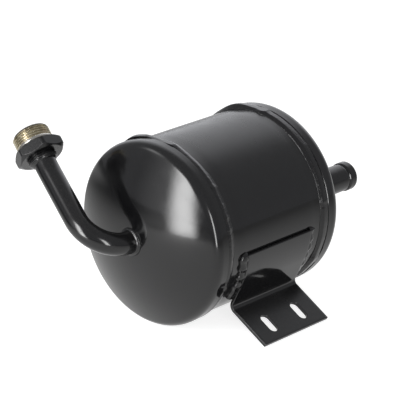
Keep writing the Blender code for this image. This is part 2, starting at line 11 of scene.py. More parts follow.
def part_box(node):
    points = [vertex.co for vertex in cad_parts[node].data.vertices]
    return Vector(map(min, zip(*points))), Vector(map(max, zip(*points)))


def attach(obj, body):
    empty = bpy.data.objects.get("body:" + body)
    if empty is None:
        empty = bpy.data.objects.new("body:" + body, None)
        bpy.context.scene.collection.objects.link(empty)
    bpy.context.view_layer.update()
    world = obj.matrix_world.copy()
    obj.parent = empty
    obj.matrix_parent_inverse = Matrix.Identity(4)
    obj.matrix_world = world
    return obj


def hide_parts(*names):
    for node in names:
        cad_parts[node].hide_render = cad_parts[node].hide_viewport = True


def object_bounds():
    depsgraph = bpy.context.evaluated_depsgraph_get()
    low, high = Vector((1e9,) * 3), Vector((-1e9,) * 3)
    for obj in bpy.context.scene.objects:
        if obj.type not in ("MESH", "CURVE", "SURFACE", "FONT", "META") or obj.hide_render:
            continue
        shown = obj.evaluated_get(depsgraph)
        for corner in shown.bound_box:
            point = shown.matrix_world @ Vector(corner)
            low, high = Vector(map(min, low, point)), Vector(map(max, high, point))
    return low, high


bl_info = {
    "name": "Receiver drier",
    "version": (1, 0, 0),
    "blender": (4, 5, 0),
    "location": "View3D > Sidebar > Drier",
    "description": "Dresses the packed receiver drier with its detailed pieces, finishes, light and camera",
    "category": "Object",
}

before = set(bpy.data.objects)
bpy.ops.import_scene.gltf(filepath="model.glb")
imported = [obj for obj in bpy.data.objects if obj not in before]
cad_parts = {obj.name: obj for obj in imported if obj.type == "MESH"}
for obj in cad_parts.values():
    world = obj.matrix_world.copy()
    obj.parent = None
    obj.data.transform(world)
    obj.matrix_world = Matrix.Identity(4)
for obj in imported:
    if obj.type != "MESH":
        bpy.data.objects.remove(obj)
CAD_BOX = [list(corner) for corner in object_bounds()]

MM = 0.001

# Middle of the tank's axis in the row frame; every piece below is shaped about it
SHELL_LOW, SHELL_HIGH = (Vector(corner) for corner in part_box("shell"))
TANK = (SHELL_LOW + SHELL_HIGH) / 2
SHELL_R = (SHELL_HIGH.x - SHELL_LOW.x) / 2
FLOOR_Z = CAD_BOX[0][2] - TANK.z
FLOOR_R = 4.0

# Directions to the pale sweep behind the object, as its gloss sees it, and to the band of painted light that
# the floor glows with towards it
SWEEP = (-0.566, 0.750, 0.342)
PAINTED_BAND_DIRECTION = (-0.6, 0.8, 0.0)

TUBE_FACETS = 72

# Stations of the bracket's two side edges
BRACKET_FRONT, BRACKET_REAR = (corner[1] - TANK.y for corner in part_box("mounting_bracket"))

SLIP = 0.3 * MM  # Room between the shell and the skirts that slip over it
ROOT = 0.4 * MM  # How far a weld reaches into the metal below it


def srgb(code):
    """Linear colour of an sRGB hex value."""
    parts = [int(code[i:i + 2], 16) / 255 for i in (1, 3, 5)]
    return tuple(part / 12.92 if part <= 0.04045 else ((part + 0.055) / 1.055) ** 2.4 for part in parts)


def length(name, description, millimetres, low=0):
    """A length property in metres, its default given in millimetres."""
    return FloatProperty(name=name, description=description, default=millimetres * MM, min=low,
                         precision=5, subtype="DISTANCE", unit="LENGTH")


def angle(name, description, default):
    """An angle property, its default given in degrees."""
    return FloatProperty(name=name, description=description, default=radians(default),
                         subtype="ANGLE", unit="ROTATION")


def radiance(name, place, default):
    """The radiance of a light at a place."""
    return FloatProperty(name=name, description="Radiance of the " + place, default=default, min=0)


def colour(name, description, code):
    """A colour property, its default given as an sRGB hex value."""
    return FloatVectorProperty(name=name, description=description, default=srgb(code), min=0, max=1,
                               size=3, subtype="COLOR")


class DRIER_PG_tank(bpy.types.PropertyGroup):
    """Sizes of the shell, its two dished heads and the welds between them."""
    wall: length("Wall", "Thickness of the shell and of the heads", 2)
    visible: length("Visible shell", "Length of shell between the rims of the two skirts", 121.8)
    overlap: length("Overlap", "Length of shell inside each skirt", 5)
    skirt: length("Skirt", "Length of each head's straight skirt", 6)
    knuckle: length("Knuckle radius", "Radius between skirt and crown", 9.4)
    crown: length("Crown radius", "Radius of each head's dished crown", 152.4)
    skirt_wave: length("Skirt wave", "How far the pressed skirt waves in and out", 0.04)
    bead_width: length("Girth bead width", "Width of the bead between skirt and shell", 8.2)
    bead_height: length("Girth bead height", "Height of the bead above the shell", 2.2)
    ripple: length("Ripple pitch", "Distance between two ripples of a weld bead", 1.5)
    facets: IntProperty(name="Facets", description="Facets round the tank", default=288, min=48)


class DRIER_PG_inlet(bpy.types.PropertyGroup):
    """Sizes of the inlet tube and of the union on its end."""
    tube: length("Tube radius", "Outside radius of the inlet tube", 9.525)
    tube_wall: length("Tube wall", "Wall of the inlet tube", 1.5)
    corner: length("Corner", "From the head's apex to the corner of the tube's bend", 39.5)
    bend: length("Bend radius", "Radius of the tube's first bend", 29.6)
    leg: length("Leg", "Length of the tube's leg between its two corners", 90.4)
    lean: angle("Leg lean", "Lean of the leg towards the rear", 13.2)
    rise: angle("Leg rise", "Rise of the leg above the level", 31.2)
    end: length("End", "Length of the tube's last stretch", 16.8)
    end_bend: length("End bend radius", "Radius of the slight bend before the union", 60)
    end_lean: angle("End lean", "Lean of the union towards the rear", 7.5)
    end_rise: angle("End rise", "Rise of the union above the level", 40.0)
    weld: length("Weld leg", "Leg of the fillet where the tube meets the head", 2.4)
    collar: length("Collar radius", "Outside radius of the union's socket", 12.4)
    hexagon: length("Across flats", "Width of the hexagon across its flats", 38.1)
    hexagon_turn: angle("Hexagon turn", "Turn of the hexagon about the union's axis", -10)
    thread: length("Thread radius", "Outside radius of the thread", 15.875)
    pitch: length("Thread pitch", "Distance between two turns of the thread", 2.117)
    depth: length("Thread depth", "Depth of the thread from crest to root", 1.2)
    bore: length("Bore radius", "Radius of the union's bore", 8)


class DRIER_PG_stub(bpy.types.PropertyGroup):
    """Sizes of the outlet stub on the rear head."""
    radius: length("Radius", "Outside radius of the stub", 11.75)
    wall: length("Wall", "Wall of the stub", 1.9)
    across: length("Across", "Distance of the stub from the axis towards the bracket", 44)
    above: length("Above", "Height of the stub above the axis", 12.4)
    inside: length("Inside", "Length of the stub inside the head", 14)
    outside: length("Outside", "Length of the stub outside the head", 37)
    lip: length("Lip radius", "Outside radius of the proud end", 12.5)
    lip_length: length("Lip length", "Length of the proud end", 8)
    weld: length("Weld leg", "Leg of the fillet where the stub meets the head", 2.4)


class DRIER_PG_bracket(bpy.types.PropertyGroup):
    """Sizes of the bent bracket and its welds."""
    sheet: length("Sheet", "Thickness of the bracket", 3)
    gap: length("Gap", "Room between shell and saddle", 0.3)
    round: length("Edge round", "Rounding of the bracket's sheared edges", 0.5)
    top: angle("Saddle top", "Angle of the saddle's top edge above the level", -3)
    leaves: angle("Saddle leaves", "Angle at which the saddle leaves the shell", -24.3)
    bend: length("Bend radius", "Inside radius of the bend above the foot", 3.8)
    slope: angle("Foot slope", "Slope of the foot below the level", 28.5)
    foot: length("Foot depth", "Depth of the foot from the bend to its edge", 43.5)
    slot_width: length("Slot width", "Width of each slot", 8.5)
    slot_length: length("Slot length", "Length of each slot", 18.2)
    slot_spacing: length("Slot spacing", "Distance between the two slots", 36.3)
    slot_place: length("Slot place", "From the bend to the middle of the slots", 26.6)
    weld_width: length("Weld width", "Width of the beads beside the saddle", 4.2)
    weld_end: angle("Weld end", "Angle at which the beads end", -38)


class DRIER_PG_finish(bpy.types.PropertyGroup):
    """Colours of the finishes."""
    enamel: colour("Enamel", "Gloss black enamel", "#0B0B0C")
    dust: colour("Dust", "Film of dust on the enamel", "#4A4743")
    spatter: colour("Spatter", "Spatter and scale beside the welds", "#2B2622")
    zinc: colour("Zinc", "Yellow zinc plating in the light", "#CDC5AE")
    zinc_dark: colour("Zinc, dark", "Yellow zinc plating where it is thick", "#857A62")
    zinc_tint: colour("Zinc, tint", "Pink and green sheen of the chromate film", "#B0958A")
    steel: colour("Steel", "Bare mild steel", "#B9B8B5")
    felt: colour("Felt", "Pressed filter felt", "#D9D3C4")
    beads: colour("Beads", "Desiccant beads", "#D9B48A")
    floor: colour("Floor", "Pale studio floor", "#C6C6C6")


class DRIER_PG_stage(bpy.types.PropertyGroup):
    """Camera and light."""
    azimuth: angle("Azimuth", "Camera's turn round the object", 42.94)
    elevation: angle("Elevation", "Camera's height above the level", 21.67)
    roll: angle("Roll", "Camera's roll", 1.2)
    distance: length("Distance", "Camera's distance from the middle of the tank", 1791)
    lens: FloatProperty(name="Lens", description="Focal length on a 36 mm sensor", default=185.2, min=1,
                        subtype="DISTANCE_CAMERA")
    across: length("Aim across", "Aim to the side of the tank's middle", -1.84, -1)
    above: length("Aim above", "Aim above the tank's middle", 3.27, -1)
    left: radiance("Left soft box", "soft box before the near head", 14.5)
    right: radiance("Right soft box", "soft box beside the camera", 12)
    fill: radiance("Fill soft box", "weak soft box left of the camera", 0.9)
    top: radiance("Top soft box", "small soft box above the inlet tube", 3.2)
    ambient: radiance("Room", "room round the object", 0.55)


GROUPS = {
    "drier_tank": DRIER_PG_tank,
    "drier_inlet": DRIER_PG_inlet,
    "drier_stub": DRIER_PG_stub,
    "drier_bracket": DRIER_PG_bracket,
    "drier_finish": DRIER_PG_finish,
    "drier_stage": DRIER_PG_stage,
}


def steps(start, end, count):
    """Evenly spaced numbers from start to end, both included."""
    return [start + (end - start) * i / count for i in range(count + 1)]


def turns(count):
    """Evenly spaced angles once round."""
    return [tau * i / count for i in range(count)]


def polar(radius, turn, station=0.0):
    """The point at a radius and an angle round the Y axis."""
    return Vector((radius * cos(turn), station, radius * sin(turn)))


def clamp(value):
    """The value, kept from 0 to 1."""
    return max(0.0, min(1.0, value))


def smooth(value):
    """Eases from 0 to 1 with level ends."""
    value = clamp(value)
    return value * value * (3 - 2 * value)


def lump(x, y=0.0, z=0.0):
    """Seeded noise from -1 to 1."""
    return noise.noise(Vector((x, y, z)))


def lump_round(turn, fineness, seed):
    """Seeded noise from -1 to 1 that closes on itself once round."""
    return lump(fineness * cos(turn), fineness * sin(turn), seed)


def skin(rows, capped=False, shape=None):
    """A bmesh through closed rows of points; its ends are capped, or else joined to each other."""
    shape = shape or bmesh.new()
    grid = [[shape.verts.new(point) for point in row] for row in rows]
    count = len(grid[0])
    for first, second in zip(grid, grid[1:] if capped else grid[1:] + grid[:1]):
        for i in range(count):
            k = (i + 1) % count
            shape.faces.new((first[i], first[k], second[k], second[i]))
    if capped:
        shape.faces.new(grid[0])
        shape.faces.new(grid[-1])
    return shape


def circle(radius, station, facets, across=0.0, above=0.0):
    """A ring of points round the Y axis, or round a line beside it; radius may depend on the angle."""
    points = []
    for turn in turns(facets):
        reach = radius(turn) if callable(radius) else radius
        points.append(Vector((across + reach * cos(turn), station, above + reach * sin(turn))))
    return points


def placed(name, data, matrix):
    """An object in the scene with its data and its matrix."""
    thing = bpy.data.objects.new(name, data)
    bpy.context.scene.collection.objects.link(thing)
    thing.matrix_world = matrix
    return thing


def piece_from(name, shape, sharp, matrix=None):
    """A smooth-shaded object in the row frame from a shape made about the tank's middle."""
    bmesh.ops.remove_doubles(shape, verts=shape.verts, dist=0.0005 * MM)
    bmesh.ops.recalc_face_normals(shape, faces=shape.faces)
    if matrix:
        bmesh.ops.transform(shape, matrix=matrix, verts=shape.verts)
    mesh = bpy.data.meshes.new(name)
    shape.to_mesh(mesh)
    shape.free()
    mesh.shade_smooth()
    mesh.set_sharp_from_angle(angle=radians(sharp))
    return placed(name, mesh, Matrix.Translation(TANK))


def settle(piece, slot, *nodes):
    """Give a piece the material made for a slot, put it on its body, and hide the CAD nodes that it stands
    for.
    """
    piece.data.materials.append(material_for(slot))
    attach(piece, "root")
    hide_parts(*nodes)


def cut(piece, cutter):
    """Cut a hole through a piece with an exact Boolean, and remove the cutter."""
    modifier = piece.modifiers.new("cut", "BOOLEAN")
    modifier.operation = "DIFFERENCE"
    modifier.solver = "EXACT"
    modifier.object = cutter
    graph = bpy.context.evaluated_depsgraph_get()
    mesh = bpy.data.meshes.new_from_object(piece.evaluated_get(graph))
    piece.modifiers.clear()
    old = piece.data
    piece.data = mesh
    mesh.name = piece.name
    bpy.data.meshes.remove(old)
    used = cutter.data
    bpy.data.objects.remove(cutter)
    bpy.data.meshes.remove(used)


def crown_angle(tank):
    """Angle at the crown's centre between the axis and the knuckle."""
    return asin((skirt_r(tank) - tank.knuckle) / (tank.crown - tank.knuckle))


def skirt_r(tank):
    """Outside radius of the skirts."""
    return SHELL_R + SLIP + tank.wall


def knuckle_y(tank):
    """Station at which the skirt ends and the knuckle begins."""
    return tank.visible / 2 + tank.skirt


def crown_y(tank, across, above, inward=0.0):
    """Station of the rear head's crown at a place beside the axis."""
    centre = knuckle_y(tank) - (tank.crown - tank.knuckle) * cos(crown_angle(tank))
    return centre + sqrt((tank.crown - inward) ** 2 - across ** 2 - above ** 2)


def head_face(tank, side, hole, inward):
    """Rows of one face of a dished head, from the round hole in its crown out to the skirt's rim."""
    across, above, hole_r = hole
    meets = crown_angle(tank)
    edge_r = (tank.crown - inward) * sin(meets)
    rows = []
    for share in steps(0, 1, 40):
        radius = hole_r + (edge_r - hole_r) * share
        ring = circle(radius, 0, tank.facets, across * (1 - share), above * (1 - share))
        for point in ring:
            point.y = side * crown_y(tank, point.x, point.z, inward)
        rows.append(ring)
    hub = skirt_r(tank) - tank.knuckle
    bend_r = tank.knuckle - inward
    for turn in steps(pi / 2 - meets, 0, 14)[1:]:
        station = knuckle_y(tank) + bend_r * sin(turn)
        rows.append(circle(hub + bend_r * cos(turn), side * station, tank.facets))
    rim_round = 0.35 * MM
    full = skirt_r(tank) - inward
    trim = -rim_round if inward == 0 else rim_round
    for share in steps(0, 1, 10)[1:]:
        station = knuckle_y(tank) - (tank.skirt - rim_round) * share
        ease = smooth(share * 1.6)

        def waved(turn):
            wave = lump_round(turn, 4, side * 3 + share * 0.6)
            fine = lump_round(turn, 17, side * 5 + share * 1.5)
            return full + tank.skirt_wave * ease * (wave + 0.5 * fine)

        rows.append(circle(waved, side * station, tank.facets))
    rows.append(circle(full + trim, side * tank.visible / 2, tank.facets))
    return rows


def dished_head(tank, name, side, hole):
    """A pressed head: outer face, rim, inner face and the wall of its hole."""
    rows = head_face(tank, side, hole, 0) + head_face(tank, side, hole, tank.wall)[::-1]
    return piece_from(name, skin(rows), 40)


def shell_tube(tank):
    """The shell, drawn in a little beside the girth welds as weld shrinkage leaves it."""
    half = tank.visible / 2 + tank.overlap
    rows = []
    for station in steps(-half, half, 84):
        beside = abs(station) - (tank.visible / 2 - tank.bead_width)
        pinch = 0.12 * MM * exp(-((beside + 5 * MM) / (5 * MM)) ** 2)

        def radius(turn):
            slow = lump_round(turn, 1.6, station / (60 * MM))
            return SHELL_R - pinch + 0.04 * MM * slow

        rows.append(circle(radius, station, tank.facets))
    rows += [circle(SHELL_R - tank.wall, station, tank.facets) for station in (half, -half)]
    return piece_from("tank_shell", skin(rows), 40)


# Stops and restarts of the front (-1) and rear (1) girth beads: angle and spread in degrees, height in mm
WELD_STOPS = {
    -1: ((113, 8, 2.6), (102, 6, 1.7), (82, 6, 1.4), (43, 1.6, 0.9), (31, 1.4, 0.5), (24, 1.2, 0.55),
         (17, 1.5, 0.5), (-24, 3, 0.8)),
    1: ((108, 12, 2.2), (86, 3, 1.7), (48, 5, 0.5), (12, 2, 0.5), (-30, 4, 0.8)),
}


def weld_stop(side, turn):
    """Extra height of a girth bead at an angle, where the welder stopped and started again."""
    extra = 0.0
    for middle, spread, height in WELD_STOPS[side]:
        away = (degrees(turn) - middle + 180) % 360 - 180
        extra += height * MM * exp(-((away / spread) ** 2))
    return extra


# Where the crown of each girth bead lies, as a share of its width from the skirt's rim
BEAD_CROWN = {-1: 0.4, 1: 0.67}


def bead_back(side, share, fine, power):
    """Height of a girth bead's back at a share of its width, from a valley at the rim to the toe."""
    crown = BEAD_CROWN[side]
    if share < crown:
        return 1 - 0.22 * (1 - share / crown) ** 2 * (0.8 + 0.4 * fine)
    if side > 0:
        return 1 - (share - crown) / (1 - crown) * 0.94
    return 1 - 0.37 * clamp((share - crown) / 0.35) - 0.57 * clamp((share - 0.75) / 0.25) ** power


def girth_bead(tank, name, side):
    """The broad bead between skirt and shell, with stops, slow lumps and fine ripples along it."""
    start = tank.visible / 2 + 0.05 * MM
    rows = []
    for turn in turns(1080):
        arc = turn * SHELL_R / tank.ripple
        slow = lump_round(turn, 7, 7 * side)
        fine = lump_round(turn, 34, 11 * side)
        stop = weld_stop(side, turn)
        # Below the last stop of the front bead the welder slowed down, so it is rounder and rougher there
        slowed = smooth((radians(45) - abs(turn - radians(12))) * 9) if side < 0 else 0.0
        width = tank.bead_width * (0.97 + 0.05 * slow + 0.02 * fine + 0.1 * max(side, 0)) + 0.5 * stop
        height = tank.bead_height * (0.95 + 0.07 * slow + 0.03 * fine) + stop
        # No lump stands above the tank's own height
        highest = -(FLOOR_Z + 0.02 * MM) / max(abs(sin(turn)), 0.5)
        ring = [(SHELL_R - SLIP, 0)]
        for share in steps(0, 1, 20):
            scale = sin(tau * (arc - 1.6 * abs(share - BEAD_CROWN[side])))
            rough = lump_round(turn, 70, share * 7 + 3 * side)
            varied = 0.035 * scale + (0.07 + 0.14 * slowed) * rough
            up = height * bead_back(side, share, fine, 1.0 + 2.8 * slowed)
            up += varied * MM * sin(pi * clamp(0.15 + share * 0.85))
            ring.append((min(SHELL_R + up, highest), width * share))
        ring.append((SHELL_R - SLIP, width))
        rows.append([polar(r, turn, side * (start - out)) for r, out in ring])
    return piece_from(name, skin(rows), 60)


def corner_points(start, corner, end, radius, count):
    """Points round one corner of a path, rounded to the radius."""
    inward = (start - corner).normalized()
    outward = (end - corner).normalized()
    half = inward.angle(outward) / 2
    setback = radius / tan(half)
    centre = corner + (inward + outward).normalized() * (radius / sin(half))
    first = corner + inward * setback - centre
    bend = first.rotation_difference(corner + outward * setback - centre)
    return [centre + Quaternion(bend.axis, bend.angle * i / count) @ first for i in range(count + 1)]


def slanted(lean, rise):
    """Unit vector away from the bracket, leaning to the rear and rising."""
    return Vector((-cos(lean) * cos(rise), sin(lean), cos(lean) * sin(rise)))


def inlet_route(tank, inlet):
    """Where the inlet tube starts, turns twice and ends."""
    apex = crown_y(tank, 0, 0)
    start = Vector((0, -apex + 8 * MM, 0))
    corner = Vector((0, -apex - inlet.corner, 0))
    second = corner + slanted(inlet.lean, inlet.rise) * inlet.leg
    return start, corner, second, second + slanted(inlet.end_lean, inlet.end_rise) * inlet.end


def swept_rows(path, radius, side, facets, squeeze):
    """Rings along a path, squeezed a little; side is a direction that the path never takes."""
    rows = []
    for i, point in enumerate(path):
        along = (path[min(i + 1, len(path) - 1)] - path[max(i - 1, 0)]).normalized()
        across = along.cross(side).normalized()
        up = across.cross(along)
        wide = radius * (1 - squeeze(i))
        high = radius * (1 + 0.5 * squeeze(i))
        rows.append([point + across * cos(turn) * wide + up * sin(turn) * high for turn in turns(facets)])
    return rows


def inlet_tube(tank, inlet):
    """The bent tube, a little flattened in its bend as tube bending leaves it."""
    start, corner, second, end = inlet_route(tank, inlet)
    bend = corner_points(start, corner, second, inlet.bend, 30)
    last = corner_points(corner, second, end, inlet.end_bend, 6)
    path = [start.lerp(bend[0], share) for share in steps(0, 1, 12)[:-1]]
    first_bent = len(path)
    path += bend
    last_bent = len(path)
    path += [bend[-1].lerp(last[0], share) for share in steps(0, 1, 24)[1:-1]]
    path += last
    path += [last[-1].lerp(end, share) for share in steps(0, 1, 6)[1:]]

    def flattened(i):
        middle = (first_bent + last_bent) / 2
        return 0.02 * smooth(1.4 - abs(i - middle) / (0.5 * (last_bent - first_bent)))

    side = slanted(inlet.lean, inlet.rise).cross(Vector((0, 1, 0)))
    outer = swept_rows(path, inlet.tube, side, TUBE_FACETS, flattened)
    inner = swept_rows(path, inlet.tube - inlet.tube_wall, side, TUBE_FACETS, flattened)
    return piece_from("inlet_pipe", skin(outer + inner[::-1]), 40)


def fillet_ring(tank, name, side, hole, tube_r, leg, seed):
    """The rippled fillet where a tube leaves a head, following the crown all round."""
    across, above = hole
    rows = []
    for turn in turns(216):
        arc = turn * tube_r / tank.ripple
        size = leg * (1 + 0.12 * lump_round(turn, 2.5, seed))
        points = [(tube_r - SLIP, -ROOT)]
        for part in steps(0, 1, 6):
            scale = 0.5 + 0.5 * sin(tau * (arc - 0.6 * abs(part - 0.5)))
            bulge = (0.16 * size + 0.12 * MM * scale) * sin(pi * part)
            points.append((tube_r + size * part + bulge, size * (1 - part) + bulge))
        points.append((tube_r + size, -ROOT))
        ring = []
        for out, up in points:
            x = across + out * cos(turn)
            z = above + out * sin(turn)
            ring.append(Vector((x, side * (crown_y(tank, x, z) + up), z)))
        rows.append(ring)
    return piece_from(name, skin(rows), 50)


def union_matrix(tank, inlet):
    """Places the union on the tube's end, its own Y axis pointing outwards."""
    along = slanted(inlet.end_lean, inlet.end_rise)
    turn = Vector((0, 1, 0)).rotation_difference(along)
    return Matrix.Translation(inlet_route(tank, inlet)[3]) @ turn.to_matrix().to_4x4()


# Stations along the union, from its socket's mouth to the end of its thread
UNION_BACK = -7.4 * MM
HEX_BACK = -3.4 * MM
HEX_FRONT = 7.1 * MM
THREAD_START = 10.1 * MM
UNION_END = 21.1 * MM


def union_radius(inlet, station, turn):
    """Outside radius of the union at a station and an angle."""
    if station < HEX_BACK:
        along = (station - UNION_BACK) / MM
        groove = 0.9 * smooth(1.5 - abs(along - 3.1) * 2.6) + 0.5 * smooth(1.5 - abs(along - 1.1) * 4)
        return inlet.collar - (groove + 0.6 * smooth(1 - along / 0.6)) * MM
    if station <= HEX_FRONT:
        sixth = pi / 3
        away = ((turn + inlet.hexagon_turn) % sixth) - sixth / 2
        flat = inlet.hexagon / 2 / cos(away)
        corner = inlet.hexagon / 2 / cos(sixth / 2) - 0.35 * MM
        edge = min(station - HEX_BACK, HEX_FRONT - station)
        cone = inlet.hexagon / 2 - 0.9 * MM + edge * 1.5
        return min(flat, corner, cone)
    if station <= THREAD_START:
        share = (station - HEX_FRONT) / (THREAD_START - HEX_FRONT)
        return inlet.thread - 0.35 * MM + 0.5 * MM * sin(pi * share)
    phase = (station / inlet.pitch - turn / tau) % 1.0
    rise = abs(2 * phase - 1)
    valley = clamp((rise - 0.16) / 0.6)
    crest = inlet.thread - inlet.depth * valley
    lead_in = inlet.thread - 0.7 * MM + (station - THREAD_START) * 0.8
    lowest = inlet.thread - 1.8 * MM
    lead_out = lowest + (UNION_END - station) * 0.95
    return max(min(crest, lead_in, lead_out), lowest)


def union_fitting(tank, inlet):
    """The turned union: grooved collar, chamfered hexagon, relief and a cut thread, bored through."""
    facets = 192
    stations = steps(UNION_BACK, HEX_BACK - 0.02 * MM, 40)
    chamfer = 2.2 * MM
    stations += steps(HEX_BACK, HEX_BACK + chamfer, 12)
    stations += steps(HEX_BACK + chamfer, HEX_FRONT - chamfer, 4)[1:-1]
    stations += steps(HEX_FRONT - chamfer, HEX_FRONT, 12)
    stations += steps(HEX_FRONT + 0.02 * MM, THREAD_START, 10)
    stations += steps(THREAD_START, UNION_END, 110)[1:]
    rows = []
    for station in stations:
        rows.append(circle(lambda turn: union_radius(inlet, station, turn), station, facets))
    socket = inlet.tube + 0.1 * MM
    rows.append(circle(inlet.bore + 0.7 * MM, UNION_END, facets))
    rows.append(circle(inlet.bore, UNION_END - 0.7 * MM, facets))
    rows += [circle(inlet.bore, 0.3 * MM, facets), circle(socket, 0.3 * MM, facets)]
    rows.append(circle(socket, UNION_BACK, facets))
    return piece_from("inlet_union", skin(rows), 28, union_matrix(tank, inlet))


# Section of the braze ring in mm: out from the tube, station along the union, share that swells
BRAZE_SECTION = (
    (-0.2, -9.4, 0), (0.5, -9.1, 1), (1.3, -8.4, 1), (1.9, -7.6, 1), (1.9, -7.2, 0), (-0.2, -7.2, 0))


def braze_ring(tank, inlet):
    """The thin braze ring between the tube and the union's socket."""
    rows = []
    for turn in turns(144):
        swell = 0.12 * lump_round(turn, 3, 31)
        rows.append([polar(inlet.tube + out * MM * (1 + swell * swells), turn, station * MM)
                     for out, station, swells in BRAZE_SECTION])
    return piece_from("inlet_braze_ring", skin(rows), 50, union_matrix(tank, inlet))


def outlet_stub(tank, stub):
    """The outlet stub, with a turned groove before its slightly proud end."""
    surface = crown_y(tank, stub.across, stub.above)
    end = surface + stub.outside
    lip = end - stub.lip_length
    outline = [(stub.radius, surface - stub.inside)]
    outline += [(stub.radius + 0.05 * MM * lump(i * 0.9, 3.3), station)
                for i, station in enumerate(steps(surface - stub.inside, lip - 1.6 * MM, 26)[1:])]
    outline += [(stub.radius - 0.35 * MM, lip - 1.1 * MM), (stub.radius - 0.4 * MM, lip - 0.5 * MM),
                (stub.radius + 0.1 * MM, lip), (stub.lip - 0.15 * MM, lip + 0.5 * MM),
                (stub.lip, lip + 1.0 * MM)]
    outline += [(stub.lip, station) for station in steps(lip + 1.5 * MM, end - 1.0 * MM, 6)]
    outline += [(stub.lip - 0.3 * MM, end - 0.4 * MM), (stub.lip - 0.9 * MM, end),
                (stub.radius - stub.wall, end), (stub.radius - stub.wall, surface - stub.inside)]
    rows = [circle(r, station, 96) for r, station in outline]
    return piece_from("outlet_pipe", skin(rows), 40, Matrix.Translation((stub.across, 0, stub.above)))


def foot_axes(bracket):
    """Directions down along the foot and up out of its top face."""
    down = Vector((cos(bracket.slope), 0, -sin(bracket.slope)))
    up = Vector((sin(bracket.slope), 0, cos(bracket.slope)))
    return down, up


def bracket_crease(bracket):
    """Direction in which the saddle leaves the shell, and the crease on the sheet's outer face."""
    outer_r = SHELL_R + bracket.gap + bracket.sheet
    tangent = Vector((sin(bracket.leaves), 0, -cos(bracket.leaves)))
    start = polar(1, bracket.leaves) * outer_r
    height = FLOOR_Z + bracket.foot * sin(bracket.slope) + bracket.sheet * cos(bracket.slope)
    return tangent, start + tangent * ((start.z - height) / cos(bracket.leaves))


def bracket_line(bracket):
    """Middle line of the bent sheet as (point, outward normal) pairs, from the saddle's top to the foot."""
    half = bracket.sheet / 2
    middle_r = SHELL_R + bracket.gap + half
    line = []
    for turn in steps(bracket.top, bracket.leaves, 22):
        out = polar(1, turn)
        line.append((out * middle_r, out))
    tangent, crease = bracket_crease(bracket)
    down, up = foot_axes(bracket)
    turn = pi - (-tangent).angle(down)
    leg_out = Vector((-tangent.z, 0, tangent.x))
    bend_start = crease - tangent * bracket.bend * tan(turn / 2)
    centre = bend_start + leg_out * bracket.bend
    first = line[-1][0]
    last = bend_start - leg_out * half
    for share in steps(0, 1, 8)[1:-1]:
        line.append((first.lerp(last, share), leg_out))
    swing = leg_out.rotation_difference(up)
    for share in steps(0, 1, 14):
        out = Quaternion(swing.axis, swing.angle * share) @ leg_out
        line.append((centre - out * (bracket.bend + half), out))
    bent = line[-1][0]
    edge = crease + down * bracket.foot - up * half
    for share in steps(0, 1, 24)[1:]:
        line.append((bent.lerp(edge, share), up))
    return line


def rounded_stations(low, high, edge, inner):
    """Stations from low to high: the inner ones, and closer ones within the rounded edges."""
    near = [edge * (1 - cos(turn)) for turn in steps(0, pi / 2, 4)]
    return [low + step for step in near] + inner + [high - step for step in reversed(near)]


def edge_loss(distance, edge):
    """How much a rounded edge takes off the sheet's face at a distance from its border."""
    if distance >= edge:
        return 0.0
    return edge - sqrt(max(edge ** 2 - (edge - distance) ** 2, 0.0))


def bracket_sheet(bracket):
    """The bent sheet with rounded borders, as two faces and the rim between them."""
    line = bracket_line(bracket)
    travelled = [0.0]
    for before, after in zip(line, line[1:]):
        travelled.append(travelled[-1] + (after[0] - before[0]).length)
    whole = travelled[-1]
    edge = bracket.round

    def along(distance):
        for i in range(len(travelled) - 1):
            if distance <= travelled[i + 1] + 1e-9:
                share = (distance - travelled[i]) / (travelled[i + 1] - travelled[i])
                (place, out), (next_place, next_out) = line[i], line[i + 1]
                return place.lerp(next_place, share), out.lerp(next_out, share).normalized()
        return line[-1]

    inner = [distance for distance in travelled if edge < distance < whole - edge]
    level = steps(BRACKET_FRONT + edge, BRACKET_REAR - edge, 40)[1:-1]
    stations = rounded_stations(BRACKET_FRONT, BRACKET_REAR, edge, level)
    rows = []
    for distance in rounded_stations(0, whole, edge, inner):
        point, out = along(distance)
        border = min(distance, whole - distance)
        upper = []
        lower = []
        for station in stations:
            beside = min(station - BRACKET_FRONT, BRACKET_REAR - station)
            half = bracket.sheet / 2 - max(edge_loss(border, edge), edge_loss(beside, edge))
            place = Vector((point.x, station, point.z))
            upper.append(place + out * half)
            lower.append(place - out * half)
        rows.append(upper + lower[::-1])
    return piece_from("bracket", skin(rows, capped=True), 35)


def slot_cutter(bracket):
    """Round-ended cutters for both slots, flared a little at both faces of the foot."""
    crease = bracket_crease(bracket)[1]
    down, up = foot_axes(bracket)
    shape = bmesh.new()
    flare = 0.3 * MM
    for across in (-bracket.slot_spacing / 2, bracket.slot_spacing / 2):
        centre = crease + down * bracket.slot_place
        centre.y = (BRACKET_FRONT + BRACKET_REAR) / 2 + across
        rows = []
        for depth, grown in ((2 * MM, flare + 2 * MM), (-flare, 0), (flare - bracket.sheet, 0),
                             (-bracket.sheet - 2 * MM, flare + 2 * MM)):
            radius = bracket.slot_width / 2 + grown
            reach = (bracket.slot_length - bracket.slot_width) / 2
            ring = []
            for end, start in ((1, -pi / 2), (-1, pi / 2)):
                for turn in steps(start, start + pi, 20):
                    flat = down * (end * reach + radius * cos(turn)) + Vector((0, radius * sin(turn), 0))
                    ring.append(centre + up * depth + flat)
            rows.append(ring)
        skin(rows, capped=True, shape=shape)
    return piece_from("slot_cutter", shape, 35)


